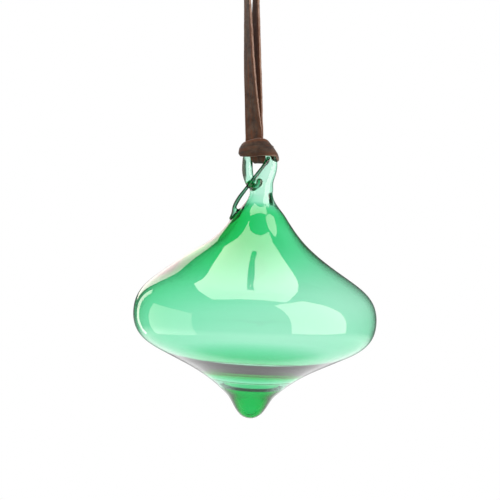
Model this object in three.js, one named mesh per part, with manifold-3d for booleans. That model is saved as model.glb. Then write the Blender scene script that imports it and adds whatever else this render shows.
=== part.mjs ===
// A hand-blown glass teardrop bauble that hangs from a leather strap.
// Millimetres, +Z up, +X to the right as the bauble is seen, -Y towards the viewer.
// The origin is the hanging point, in the crotch of the strap's loop under its knot.
import * as THREE from "three";
import { mergeVertices } from "three/addons/utils/BufferGeometryUtils.js";
import Module from "manifold-3d";

const wasm = await Module();
wasm.setup();

// How the glass hangs below the origin
const barDrop = 80;
const barOffset = 1.6;
const glassTilt = THREE.MathUtils.degToRad(2.9);
const seatGap = 0.3;

// Bulb: each depth is measured down from the middle of the eye's bar, along the glass's own axis
const axisOffset = 1.6;
const wall = 1.3;
const neckRadius = 4.25;
const neckDepth = 15.2;
const shoulderRadius = 9.5;
const shoulderDepth = 24;
const flankRadius = 25.7;
const flankDepth = 40.6;
const bulgeRadius = 45;
const bulgeDepth = 61.3;
const underRadius = 31.2;
const underDepth = 76.2;
const waistRadius = 9.1;
const waistDepth = 90.5;
const tipDepth = 99.4;
const tipSolid = 11.2;
const floorDepth = tipDepth - tipSolid;

// Glass eye: a rod of hot glass looped over and fused back on the front of the neck
const barRadius = 1.75;
const eyeFootRadius = 4.6;
const eyeFootTop = 9.6;
const eyeFootFullness = 0.6;
const threadRadius = 0.65;
const threadFootRadius = 0.9;

// Strap: one flat leather strip, hitched round the eye's bar and knotted at the top
const strapWidth = 6.2;
const strapThickness = 1;
const strapCorner = 0.25;
const pinchedWidth = 3.5;
const leftFoldWidth = 3.8;
const rightFoldWidth = 6.1;
const foldGap = seatGap / 2;
const strandFoot = 5;
const turnGap = 0.35;
const innerTurn = barRadius + turnGap + strapThickness / 2;
const outerTurn = innerTurn + turnGap + strapThickness;

// Knot at the top of the loop, tied in both strands laid face to face
const knotBase = 1.1;
const knotHeight = 10.4;
const pairWidth = 4.6;
const pairThickness = 2 * strapThickness + seatGap;
const coreRadius = 3.1;
const coreStretch = 1.3;
const wrapWidth = 4.2;
const wrapRadius = 3.2;
const wrapStretch = 1.3;
const wrapLean = 24;
const lowerWrap = 4.1;
const upperWrap = 6.5;
const tailLength = 11;

// Fineness of the surfaces
const bulbSegments = 56;
const outlineSteps = 5;
const rodSides = 12;
const threadSides = 8;
const footSteps = 5;
const loopSteps = 56;
const threadSteps = 28;
const bandSteps = 32;
const turnSteps = 44;
const strandSteps = 39;
const tailSteps = 9;

// The outline's stations from the neck down. lean is the wall's angle from straight down, outwards positive,
// and before and after say how far the curve keeps that lean on each side.
const stations = [
  { radius: neckRadius, depth: neckDepth, lean: 0, before: 0, after: 3.5 },
  { radius: shoulderRadius, depth: shoulderDepth, lean: 34, before: 3, after: 8.1 },
  { radius: flankRadius, depth: flankDepth, lean: 55, before: 10.3, after: 14.2 },
  { radius: bulgeRadius, depth: bulgeDepth, lean: 0, before: 10.5, after: 9.1 },
  { radius: underRadius, depth: underDepth, lean: -63, before: 7.7, after: 7.9 },
  { radius: waistRadius, depth: waistDepth, lean: -46, before: 11.5, after: 4 },
  { radius: 0, depth: tipDepth, lean: -90, before: 5.4, after: 0 },
];

function solidOf(geometry) {
  const bare = geometry.clone();
  bare.deleteAttribute("normal");
  bare.deleteAttribute("uv");
  const merged = mergeVertices(bare, 1e-3);
  const vertProperties = merged.attributes.position.array;
  const triVerts = new Uint32Array(merged.index.array);
  return new wasm.Manifold(new wasm.Mesh({ numProp: 3, vertProperties, triVerts }));
}

function geometryOf(solid) {
  const mesh = solid.getMesh();
  const geometry = new THREE.BufferGeometry();
  geometry.setAttribute("position", new THREE.BufferAttribute(mesh.vertProperties, 3));
  geometry.setIndex(new THREE.BufferAttribute(mesh.triVerts, 1));
  geometry.computeVertexNormals();
  return geometry;
}

function joined(geometries) {
  const solids = geometries.map(solidOf);
  return geometryOf(solids.reduce((whole, next) => whole.add(next)));
}

// A closed skin over rings that all have the same number of points, with a flat cap at each end
function skinOver(rings) {
  const sides = rings[0].length;
  const last = (rings.length - 1) * sides;
  const index = [];
  for (let ring = 0; ring < rings.length - 1; ring += 1) {
    for (let side = 0; side < sides; side += 1) {
      const a = ring * sides + side;
      const b = ring * sides + ((side + 1) % sides);
      index.push(a, b, b + sides, a, b + sides, a + sides);
    }
  }
  for (let side = 1; side < sides - 1; side += 1) {
    index.push(0, side + 1, side);
    index.push(last, last + side, last + side + 1);
  }
  const geometry = new THREE.BufferGeometry().setFromPoints(rings.flat());
  geometry.setIndex(index);
  geometry.computeVertexNormals();
  return geometry;
}

// The rings of a section carried along stops. A stop has at, its place, and side, the way the section's width
// points there; outlineAt gives the section's points as [across, through] at a share of the way.
function ringsAlong(stops, steps, outlineAt) {
  const places = new THREE.CatmullRomCurve3(stops.map((stop) => new THREE.Vector3(...stop.at)));
  const sides = new THREE.CatmullRomCurve3(stops.map((stop) => new THREE.Vector3(...stop.side)));
  const rings = [];
  for (let step = 0; step <= steps; step += 1) {
    const share = step / steps;
    const centre = places.getPoint(share);
    const along = places.getTangent(share);
    const side = sides.getPoint(share);
    const across = side.addScaledVector(along, -side.dot(along)).normalize();
    const through = new THREE.Vector3().crossVectors(along, across);
    const ring = outlineAt(share).map(([a, t]) =>
      centre.clone().addScaledVector(across, a).addScaledVector(through, t),
    );
    rings.push(ring);
  }
  return rings;
}

function sweep(stops, steps, outlineAt) {
  return skinOver(ringsAlong(stops, steps, outlineAt));
}

// The value that a list of stops gives for a key at a share of the way, run straight from stop to stop
function valueAt(stops, key, share) {
  const reach = share * (stops.length - 1);
  const before = Math.min(Math.floor(reach), stops.length - 2);
  return THREE.MathUtils.lerp(stops[before][key], stops[before + 1][key], reach - before);
}

function ellipse(sides, across, through) {
  return Array.from({ length: sides }, (_, corner) => {
    const angle = (2 * Math.PI * corner) / sides;
    return [across * Math.cos(angle), through * Math.sin(angle)];
  });
}

function strapSection(width) {
  const w = width / 2;
  const t = strapThickness / 2;
  const c = strapCorner;
  return [
    [w, -t + c],
    [w, t - c],
    [w - c, t],
    [-w + c, t],
    [-w, t - c],
    [-w, -t + c],
    [-w + c, -t],
    [w - c, -t],
  ];
}

function strap(stops, steps) {
  return sweep(stops, steps, (share) => strapSection(valueAt(stops, "width", share)));
}

function rod(stops, steps, sides) {
  return sweep(stops, steps, (share) =>
    ellipse(sides, valueAt(stops, "across", share), valueAt(stops, "through", share)),
  );
}

// A lathe turned about +Z through the bulb's own axis
function turned(profile, segments) {
  const geometry = new THREE.LatheGeometry(profile, segments);
  geometry.rotateX(Math.PI / 2);
  geometry.translate(axisOffset, 0, 0);
  return geometry;
}

// The outside of the bulb from its neck to its tip, as points of radius and height
function bulbOutline() {
  const outline = new THREE.CurvePath();
  for (let i = 0; i < stations.length - 1; i += 1) {
    const [from, to] = [stations[i], stations[i + 1]];
    const start = new THREE.Vector2(from.radius, -from.depth);
    const end = new THREE.Vector2(to.radius, -to.depth);
    const leaving = start.clone().addScaledVector(downwards(from.lean), from.after);
    const arriving = end.clone().addScaledVector(downwards(to.lean), -to.before);
    outline.add(new THREE.CubicBezierCurve(start, leaving, arriving, end));
  }
  return outline.curves;
}

function downwards(lean) {
  const angle = THREE.MathUtils.degToRad(lean);
  return new THREE.Vector2(Math.sin(angle), -Math.cos(angle));
}

function glassBulb() {
  const outside = [];
  const inside = [];
  bulbOutline().forEach((curve, piece) => {
    for (let step = piece ? 1 : 0; step <= outlineSteps; step += 1) {
      const share = step / outlineSteps;
      const point = curve.getPoint(share);
      const along = curve.getTangent(share);
      const inner = point.clone().add(new THREE.Vector2(along.y, -along.x).multiplyScalar(wall));
      outside.push(point);
      if (inner.y > wall - floorDepth) inside.push(inner);
    }
  });
  const rim = inside[0];
  const corner = inside.at(-1);
  rim.y = -neckDepth;
  outside[outside.length - 1].x = 0;
  const floor = [new THREE.Vector2(corner.x - wall, -floorDepth), new THREE.Vector2(0, -floorDepth)];
  return turned([...outside.reverse(), ...inside, ...floor], bulbSegments);
}

// The rod of the eye: up from the right of the neck, along the bar, down on the left and onto the neck
function eyeLoop() {
  const side = [0, 1, 0];
  return [
    { at: [2.1, 0, -13.3], across: 3.5, through: 3.6, side },
    { at: [2.9, 0, -10.6], across: 3.3, through: 3.1, side },
    { at: [4.0, 0, -7.0], across: 2.7, through: 2.9, side },
    { at: [4.6, 0, -4.2], across: 2.3, through: 2.35, side },
    { at: [4.0, 0, -1.7], across: 2.0, through: 1.95, side },
    { at: [2.3, 0, -0.1], across: 1.85, through: 1.75, side },
    { at: [0, 0, 0], across: barRadius, through: barRadius, side },
    { at: [-2.3, 0, -0.1], across: 1.8, through: 1.75, side },
    { at: [-3.8, 0, -2.2], across: 1.9, through: 1.85, side },
    { at: [-4.0, 0, -4.9], across: 2.0, through: 1.95, side },
    { at: [-3.8, -0.2, -7.9], across: 2.1, through: 2.0, side },
    { at: [-3.0, -0.9, -10.8], across: 2.1, through: 1.9, side },
    { at: [-1.8, -1.9, -12.9], across: 1.9, through: 1.7, side: [0, 0.9, -0.4] },
    { at: [-0.5, -2.9, -12.8], across: 1.5, through: 1.5, side: [0.3, 0.9, -0.2] },
    { at: [0.4, -3.3, -11.4], across: 1.2, through: 1.2, side: [0.4, 0.9, 0] },
  ];
}

// The thread drawn off the eye while hot, which crosses its front and ends along the bulb's shoulder
function eyeThread() {
  const side = [0, 1, 0];
  const thin = { across: threadRadius, through: threadRadius, side };
  const thick = { across: threadFootRadius, through: threadFootRadius, side };
  return [
    { at: [3.7, -1.9, -2.8], ...thin },
    { at: [1.9, -3.1, -5.7], ...thin },
    { at: [-1.5, -3.7, -10.5], ...thin },
    { at: [-3.9, -3.3, -14.2], ...thin },
    { at: [-6.4, -2.4, -17.9], ...thick },
    { at: [-7.9, -1.8, -20.9], ...thick },
    { at: [-9.0, -1.4, -23.6], ...thick },
    { at: [-10.0, -1.2, -25.5], ...thin },
  ];
}

// The rounded foot that closes the neck and that the loop grows out of
function eyeFoot() {
  const base = -neckDepth + seatGap;
  const rise = -eyeFootTop - base;
  const profile = [new THREE.Vector2(0, base), new THREE.Vector2(neckRadius, base)];
  for (let step = 1; step <= footSteps; step += 1) {
    const angle = (Math.PI / 2) * (step / footSteps);
    const radius = step < footSteps ? eyeFootRadius * Math.cos(angle) ** eyeFootFullness : 0;
    profile.push(new THREE.Vector2(radius, base + rise * Math.sin(angle)));
  }
  return turned(profile, 2 * rodSides);
}

function glassEye() {
  const loop = rod(eyeLoop(), loopSteps, rodSides);
  const thread = rod(eyeThread(), threadSteps, threadSides);
  return joined([eyeFoot(), loop, thread]);
}

// The bight of the hitch, a band across the front of the eye, from the left fold to the right one
function hitchBand() {
  return [
    { at: [-7.1, -foldGap, -0.2], side: [0.1, 0, 1], width: leftFoldWidth },
    { at: [-7.1, -0.9, -0.2], side: [0.1, 0, 1], width: leftFoldWidth },
    { at: [-6.7, -2.7, 0], side: [0.1, 0, 1], width: 4.7 },
    { at: [-4.8, -4.9, 0.35], side: [0, 0, 1], width: 5.9 },
    { at: [-2.2, -5.6, 0.75], side: [0, 0, 1], width: strapWidth },
    { at: [0.6, -5.75, 1.1], side: [0, 0, 1], width: strapWidth },
    { at: [3.3, -5.3, 1.0], side: [-0.1, 0, 1], width: 6 },
    { at: [5.3, -3.8, 0.5], side: [-0.35, 0, 0.94], width: 6 },
    { at: [6.0, -2.2, -0.1], side: [-0.47, 0, 0.88], width: 6.1 },
    { at: [6.1, -0.9, -0.3], side: [-0.5, 0, 0.86], width: rightFoldWidth },
    { at: [6.1, -foldGap, -0.3], side: [-0.5, 0, 0.86], width: rightFoldWidth },
  ];
}

// The front strand's turn: down before the bar, under it, up behind it and round to the left fold
function frontTurn() {
  const slant = outerTurn * Math.SQRT1_2;
  return [
    { at: [-1.9, -outerTurn - 0.1, strandFoot - seatGap], side: [1, -0.09, 0], width: strapWidth },
    { at: [-1.9, -outerTurn - 0.1, 3.6], side: [1, -0.06, 0], width: 6 },
    { at: [-1.0, -outerTurn, 1.4], side: [1, 0, 0], width: 4.6 },
    { at: [-0.3, -outerTurn, -0.3], side: [1, 0, 0], width: 3.7 },
    { at: [0, -slant, -slant], side: [1, 0, 0], width: pinchedWidth },
    { at: [0, 0, -outerTurn], side: [1, 0, 0], width: pinchedWidth },
    { at: [0, slant, -slant], side: [1, 0, 0], width: pinchedWidth },
    { at: [-0.7, outerTurn + 0.3, -0.3], side: [1, 0, 0.2], width: 4 },
    { at: [-2.7, outerTurn + 0.7, 1.4], side: [0.6, 0, 0.8], width: 4.8 },
    { at: [-5.3, 3.7, 1.2], side: [0.3, 0, 0.95], width: 4.7 },
    { at: [-6.8, 2.0, 0.1], side: [0.15, 0, 0.99], width: 4.1 },
    { at: [-7.1, 0.9, -0.2], side: [0.1, 0, 1], width: leftFoldWidth },
    { at: [-7.1, foldGap, -0.2], side: [0.1, 0, 1], width: leftFoldWidth },
  ];
}

// The rear strand's turn, inside the front one's, which goes round to the right fold
function rearTurn() {
  const slant = innerTurn * Math.SQRT1_2;
  return [
    { at: [-1.5, -innerTurn, strandFoot - seatGap], side: [1, -0.09, 0], width: strapWidth },
    { at: [-1.5, -innerTurn, 3.6], side: [1, -0.06, 0], width: 6 },
    { at: [-0.8, -innerTurn, 1.4], side: [1, 0, 0], width: 4.4 },
    { at: [-0.2, -innerTurn, -0.2], side: [1, 0, 0], width: 3.6 },
    { at: [0, -slant, -slant], side: [1, 0, 0], width: pinchedWidth },
    { at: [0, 0, -innerTurn], side: [1, 0, 0], width: pinchedWidth },
    { at: [0, slant, -slant], side: [1, 0, 0], width: pinchedWidth },
    { at: [0.4, innerTurn + 0.3, -0.1], side: [1, 0, -0.2], width: 3.6 },
    { at: [2.4, innerTurn + 0.7, 1.1], side: [0.7, 0, -0.7], width: 4.4 },
    { at: [4.9, 3.7, 0.4], side: [0.2, 0, -0.97], width: 5.2 },
    { at: [6.0, 2.3, -0.1], side: [0.45, 0, -0.89], width: 5.8 },
    { at: [6.1, 0.9, -0.3], side: [0.5, 0, -0.86], width: rightFoldWidth },
    { at: [6.1, foldGap, -0.3], side: [0.5, 0, -0.86], width: rightFoldWidth },
  ];
}

// A free strand from the hitch up to the knot. turn is the strap's twist in degrees, clockwise from above.
function strand(route) {
  return route.map(([x, y, z, turn]) => {
    const angle = THREE.MathUtils.degToRad(turn);
    return { at: [x, y, z], side: [Math.cos(angle), -Math.sin(angle), 0], width: strapWidth };
  });
}

const frontRoute = [
  [-0.3, -4.1, -75, 5],
  [-0.32, -4.0, -73.6, 12],
  [-0.6, -3.5, -70, 26],
  [-0.92, -3.08, -65.5, 36],
  [-1.2, -2.7, -61, 43],
  [-1.7, -2.1, -53, 51],
  [-2.0, -1.6, -46, 57],
  [-2.3, -1.1, -35, 65],
  [-2.7, -0.8, -24, 73],
  [-3.3, -0.6, -18, 77],
  [-3.9, -0.3, -12, 83],
  [-3.7, -0.1, -6, 88],
  [-2.2, 0, -2, 90],
  [-1.0, 0, -0.4, 90],
  [-0.85, 0, 0.8, 90],
];

const rearRoute = [
  [0.1, -2.6, -75, 5],
  [0.12, -2.5, -73.6, 12],
  [0.15, -2.0, -70, 26],
  [0.3, -1.45, -65.5, 36],
  [0.4, -1.0, -61, 43],
  [0.45, -0.6, -53, 51],
  [0.45, -0.3, -46, 57],
  [0.5, -0.1, -35, 65],
  [0.6, 0, -24, 73],
  [1.5, 0.2, -18, 77],
  [2.7, 0.3, -12, 83],
  [3.2, 0.1, -6, 88],
  [2.1, 0, -2, 90],
  [1.0, 0, -0.4, 90],
  [0.85, 0, 0.8, 90],
];

// One wrap of the knot: the strap going once round the pair, leaning to one side
function knotWrap(lean, lift) {
  const outline = strapSection(wrapWidth).map(([w, t]) => new THREE.Vector2(wrapRadius - t, w));
  const wrap = new THREE.LatheGeometry([...outline, outline[0]], 2 * rodSides);
  wrap.rotateX(Math.PI / 2);
  wrap.scale(1, wrapStretch, 1);
  wrap.rotateY(THREE.MathUtils.degToRad(lean));
  wrap.translate(0, 0, lift);
  return wrap;
}

// The overhand knot that both strands are tied into: the pair runs up through two leaning wraps, packed tight
function topKnot() {
  const pair = [0, 0.5, 1].map((share) => ({ at: [0, 0, share * knotHeight], side: [0, -1, 0] }));
  const run = sweep(pair, 2, () => ellipse(rodSides, pairWidth / 2, pairThickness / 2));
  const core = new THREE.SphereGeometry(coreRadius, 2 * rodSides, rodSides);
  core.scale(1, 1, coreStretch);
  core.translate(0, 0, knotHeight / 2);
  return joined([run, core, knotWrap(wrapLean, lowerWrap), knotWrap(-wrapLean, upperWrap)]);
}

// A tail of the strap above the knot, leaning out to one side
function tail(way) {
  const inKnot = (way * (strapThickness + seatGap)) / 2;
  const side = [0, 1, 0];
  const base = knotBase + knotHeight + seatGap;
  return [
    { at: [inKnot, -0.6, base], side, width: pairWidth },
    { at: [inKnot, -0.6, base + 0.8], side, width: pairWidth },
    { at: [way * 2.2, -0.3, base + tailLength / 2], side: [0.15, 1, 0], width: strapWidth },
    { at: [way * 5, 0, base + tailLength], side: [0.3, 1, 0], width: strapWidth },
  ];
}

const glass = new THREE.MeshStandardMaterial({ color: 0x3fc47e, roughness: 0.05, metalness: 0 });
const leather = new THREE.MeshStandardMaterial({ color: 0x55483f, roughness: 0.9, metalness: 0 });

function piece(name, geometry, material) {
  const mesh = new THREE.Mesh(geometry, material.clone());
  mesh.name = name;
  return mesh;
}

const bauble = new THREE.Group();
const barPlace = new THREE.Vector3(barOffset, 0, -barDrop);

const blown = new THREE.Group();
blown.position.copy(barPlace);
blown.rotation.y = glassTilt;
blown.add(piece("glass_bulb", glassBulb(), glass));
blown.add(piece("glass_eye", glassEye(), glass));
bauble.add(blown);

const hitch = new THREE.Group();
hitch.position.copy(barPlace);
hitch.add(piece("hitch_band", strap(hitchBand(), bandSteps), leather));
hitch.add(piece("hitch_turn_front", strap(frontTurn(), turnSteps), leather));
hitch.add(piece("hitch_turn_rear", strap(rearTurn(), turnSteps), leather));
bauble.add(hitch);

bauble.add(piece("strand_front", strap(strand(frontRoute), strandSteps), leather));
bauble.add(piece("strand_rear", strap(strand(rearRoute), strandSteps), leather));

const knot = piece("top_knot", topKnot(), leather);
knot.position.z = knotBase;
bauble.add(knot);
bauble.add(piece("strap_tail_left", strap(tail(-1), tailSteps), leather));
bauble.add(piece("strap_tail_right", strap(tail(1), tailSteps), leather));

export default bauble;
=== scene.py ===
import math

import bpy
import numpy as np
from mathutils import Matrix, Vector


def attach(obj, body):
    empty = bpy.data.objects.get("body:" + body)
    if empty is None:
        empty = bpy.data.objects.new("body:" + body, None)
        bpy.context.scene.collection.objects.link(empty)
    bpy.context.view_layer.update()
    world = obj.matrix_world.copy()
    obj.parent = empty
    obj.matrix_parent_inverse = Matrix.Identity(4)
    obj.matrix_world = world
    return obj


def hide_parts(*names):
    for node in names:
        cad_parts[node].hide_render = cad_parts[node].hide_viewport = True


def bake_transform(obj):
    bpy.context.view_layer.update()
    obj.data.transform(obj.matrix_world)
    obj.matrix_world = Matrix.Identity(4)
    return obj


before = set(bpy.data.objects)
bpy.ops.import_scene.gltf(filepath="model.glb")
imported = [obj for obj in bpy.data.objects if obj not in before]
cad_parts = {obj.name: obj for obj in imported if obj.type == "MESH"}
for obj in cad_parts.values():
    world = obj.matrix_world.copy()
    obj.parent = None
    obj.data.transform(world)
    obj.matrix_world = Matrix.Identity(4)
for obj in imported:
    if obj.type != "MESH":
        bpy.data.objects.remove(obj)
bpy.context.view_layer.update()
bpy.context.scene.view_settings.view_transform = "Standard"
mm = 0.001


def paint(code):
    # A colour written as it is seen, such as 55483f, in the linear values that shaders take
    parts = [int(code[i:i + 2], 16) / 255 for i in (0, 2, 4)]
    return [p / 12.92 if p <= 0.04045 else ((p + 0.055) / 1.055) ** 2.4 for p in parts] + [1]


def plug(tree, value, socket):
    # A socket takes a link from another one, or a plain value
    if isinstance(value, bpy.types.NodeSocket):
        tree.links.new(value, socket)
    else:
        socket.default_value = value


def place(tree, kind, values=(), **settings):
    # A new node with its properties set and its inputs filled
    node = tree.nodes.new(kind)
    for name, value in settings.items():
        setattr(node, name, value)
    for name, value in dict(values).items():
        plug(tree, value, node.inputs[name])
    return node


def figure(tree, operation, *values):
    return place(tree, "ShaderNodeMath", enumerate(values), operation=operation).outputs[0]


def steer(tree, operation, *values):
    node = place(tree, "ShaderNodeVectorMath", enumerate(values), operation=operation)
    return node.outputs[1 if operation in ("DOT_PRODUCT", "LENGTH") else 0]


def lengthen(tree, vector, scale):
    return place(tree, "ShaderNodeVectorMath", {0: vector, "Scale": scale}, operation="SCALE").outputs[0]


def clamped(tree, value):
    return place(tree, "ShaderNodeClamp", {0: value}).outputs[0]


def ramp(tree, value, low, high, start=0.0, end=1.0):
    return place(tree, "ShaderNodeMapRange", {
        "Value": value, "From Min": low, "From Max": high, "To Min": start, "To Max": end,
    }).outputs[0]


def blendColour(tree, share, first, second):
    node = place(tree, "ShaderNodeMix", data_type="RGBA")
    for socket, value in ((0, share), (6, first), (7, second)):
        plug(tree, value, node.inputs[socket])
    return node.outputs[2]


def newTree(name, kind, inputs, outputs):
    tree = bpy.data.node_groups.new(name, kind)
    for way, sockets in (("INPUT", inputs), ("OUTPUT", outputs)):
        for title, form, *start in sockets:
            socket = tree.interface.new_socket(title, in_out=way, socket_type="NodeSocket" + form)
            if start:
                socket.default_value = start[0]
    return tree, tree.nodes.new("NodeGroupInput"), tree.nodes.new("NodeGroupOutput")


def grown(name, start, tree, values):
    # Runs a Geometry Nodes tree on a start mesh and keeps the result as a plain mesh
    holder = bpy.data.objects.new(name, start)
    bpy.context.collection.objects.link(holder)
    modifier = holder.modifiers.new("grow", "NODES")
    modifier.node_group = tree
    sockets = {item.name: item.identifier for item in tree.interface.items_tree if item.in_out == "INPUT"}
    for title, value in values.items():
        modifier[sockets[title]] = value
    depsgraph = bpy.context.evaluated_depsgraph_get()
    made = bpy.data.meshes.new_from_object(holder.evaluated_get(depsgraph))
    holder.modifiers.clear()
    holder.data = made
    made.name = name
    return holder


def openGrid(tree, columns, rows):
    # A grid to bend into shape: its mesh, each vertex's place across it, its row's number and the last row's
    mesh = place(tree, "GeometryNodeMeshGrid", {
        "Size X": 1.0, "Size Y": 1.0, "Vertices X": columns, "Vertices Y": rows,
    }).outputs[0]
    cell = place(tree, "ShaderNodeSeparateXYZ", {0: tree.nodes.new("GeometryNodeInputPosition").outputs[0]}).outputs
    last = figure(tree, "SUBTRACT", rows, 1)
    row = figure(tree, "ROUND", figure(tree, "MULTIPLY", figure(tree, "ADD", cell["Y"], 0.5), last))
    return mesh, cell["X"], row, last


def carriedOn(tree, mesh, *steps):
    # Sends a mesh through one geometry node after the other
    for kind, values in steps:
        mesh = place(tree, kind, {0: mesh, **values}).outputs[0]
    return mesh


# The camera looks at the front from a little above
cameraSettings = {
    "aim": (-1.7 * mm, 0, -116.7 * mm),
    "distance": 460 * mm,
    "sensor": 36,
    "elevation": 2.5,
    "frameWidth": 185.2 * mm,  # what the picture spans at the aim
}


def makeCamera(s):
    data = bpy.data.cameras.new("camera")
    data.sensor_width = s["sensor"]
    data.lens = s["sensor"] * s["distance"] / s["frameWidth"]
    data.clip_start, data.clip_end = 0.01, 20
    camera = bpy.data.objects.new("camera", data)
    bpy.context.collection.objects.link(camera)
    angle = math.radians(s["elevation"])
    back = Vector((0, -math.cos(angle), math.sin(angle)))
    camera.location = Vector(s["aim"]) + back * s["distance"]
    camera.rotation_euler = (-back).to_track_quat("-Z", "Y").to_euler()
    bpy.context.scene.camera = camera


makeCamera(cameraSettings)
print("camera set")


# Brown suede with paler cut edges: its colours, and how its patterns lie over each other
suedeSettings = {
    "face": "5f4c3e",
    "shade": "3b2a20",
    "rust": "74401f",
    "flesh": "7d4a2c",
    "cut": "c09a85",
    "nap": 1500,  # how fine its fibres are
    "mottle": 260,  # and its patches
    # between which values of its pattern each layer comes in, and how much of it shows at either
    "patches": (0.38, 0.62),
    "rustyFibres": (0.48, 0.66, 0.0, 0.5),
    "darkStreaks": (0.46, 0.36, 0.0, 0.65),
    "rustyStreaks": (0.53, 0.65, 0.0, 0.6),
    "fleshFibres": (0.35, 0.6, 0.5, 0.9),
    "rubbedEdges": (0.5, 0.92, 0.0, 0.9),
    "cutEdges": (0.955, 0.99),
    "raggedCut": (0.35, 0.55, 0.35, 1.0),
    "roughness": (0.3, 0.7, 0.82, 1.0),
    "specular": 0.25,
    "sheen": 0.25,
    "bump": 0.55,
    "bumpHeight": 0.25 * mm,
}


def napGroup():
    # The nap of suede: fine ruffled fibres, broad rubbed patches and streaks along the strap
    tree, given, out = newTree(
        "suedeNap",
        "ShaderNodeTree",
        [("Place", "Vector"), ("Nap Scale", "Float", 900.0), ("Mottle Scale", "Float", 160.0)],
        [("Fibre", "Float"), ("Mottle", "Float"), ("Streak", "Float"), ("Height", "Float")],
    )
    stretched = place(tree, "ShaderNodeMapping", {"Vector": given.outputs["Place"], "Scale": (0.35, 1, 1)})
    fine = place(tree, "ShaderNodeTexNoise", {
        "Vector": stretched.outputs[0], "Scale": given.outputs["Nap Scale"], "Detail": 5.0, "Roughness": 0.65,
    })
    broad = place(tree, "ShaderNodeTexNoise", {
        "Vector": given.outputs["Place"], "Scale": given.outputs["Mottle Scale"], "Detail": 4.0, "Roughness": 0.6,
    })
    drawn = place(tree, "ShaderNodeMapping", {"Vector": given.outputs["Place"], "Scale": (0.09, 1, 0.4)})
    streakScale = figure(tree, "MULTIPLY", given.outputs["Mottle Scale"], 2.4)
    long = place(tree, "ShaderNodeTexNoise", {"Vector": drawn.outputs[0], "Scale": streakScale, "Detail": 3.0})
    height = figure(tree, "MULTIPLY_ADD", broad.outputs["Fac"], 0.6, fine.outputs["Fac"])
    height = figure(tree, "MULTIPLY_ADD", long.outputs["Fac"], 0.5, height)
    for title, noise in (("Fibre", fine), ("Mottle", broad), ("Streak", long)):
        tree.links.new(noise.outputs["Fac"], out.inputs[title])
    tree.links.new(height, out.inputs["Height"])
    return tree


def makeSuede(name, s):
    material = bpy.data.materials.new(name)
    material.use_nodes = True
    tree = material.node_tree
    shader = tree.nodes["Principled BSDF"]
    spot = place(tree, "ShaderNodeAttribute", attribute_name="strapPlace")
    edge = place(tree, "ShaderNodeAttribute", attribute_name="outward")
    flesh = place(tree, "ShaderNodeAttribute", attribute_name="fleshSide")
    nap = tree.nodes.new("ShaderNodeGroup")
    nap.node_tree = napGroup()
    for title, value in (("Place", spot.outputs["Vector"]), ("Nap Scale", s["nap"]), ("Mottle Scale", s["mottle"])):
        plug(tree, value, nap.inputs[title])
    fibre, mottle = nap.outputs["Fibre"], nap.outputs["Mottle"]
    colour = blendColour(tree, ramp(tree, mottle, *s["patches"]), paint(s["shade"]), paint(s["face"]))
    colour = blendColour(tree, ramp(tree, fibre, *s["rustyFibres"]), colour, paint(s["rust"]))
    for title, dye in (("darkStreaks", "shade"), ("rustyStreaks", "rust")):
        colour = blendColour(tree, ramp(tree, nap.outputs["Streak"], *s[title]), colour, paint(s[dye]))
    inner = figure(tree, "MULTIPLY", flesh.outputs["Fac"], ramp(tree, fibre, *s["fleshFibres"]))
    colour = blendColour(tree, inner, colour, paint(s["flesh"]))
    rubbed = figure(tree, "MULTIPLY", ramp(tree, edge.outputs["Fac"], *s["rubbedEdges"]), mottle)
    colour = blendColour(tree, rubbed, colour, paint(s["rust"]))
    sides = ramp(tree, edge.outputs["Fac"], *s["cutEdges"])
    ragged = figure(tree, "MULTIPLY", sides, ramp(tree, fibre, *s["raggedCut"]))
    colour = blendColour(tree, ragged, colour, paint(s["cut"]))
    tree.links.new(colour, shader.inputs["Base Color"])
    tree.links.new(ramp(tree, fibre, *s["roughness"]), shader.inputs["Roughness"])
    shader.inputs["Specular IOR Level"].default_value = s["specular"]
    shader.inputs["Sheen Weight"].default_value = s["sheen"]
    shader.inputs["Sheen Roughness"].default_value = 0.5
    bump = place(tree, "ShaderNodeBump", {
        "Height": nap.outputs["Height"], "Strength": s["bump"], "Distance": s["bumpHeight"],
    })
    tree.links.new(bump.outputs[0], shader.inputs["Normal"])
    return material


suede = makeSuede("suede", suedeSettings)
print("suede mixed")


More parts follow.
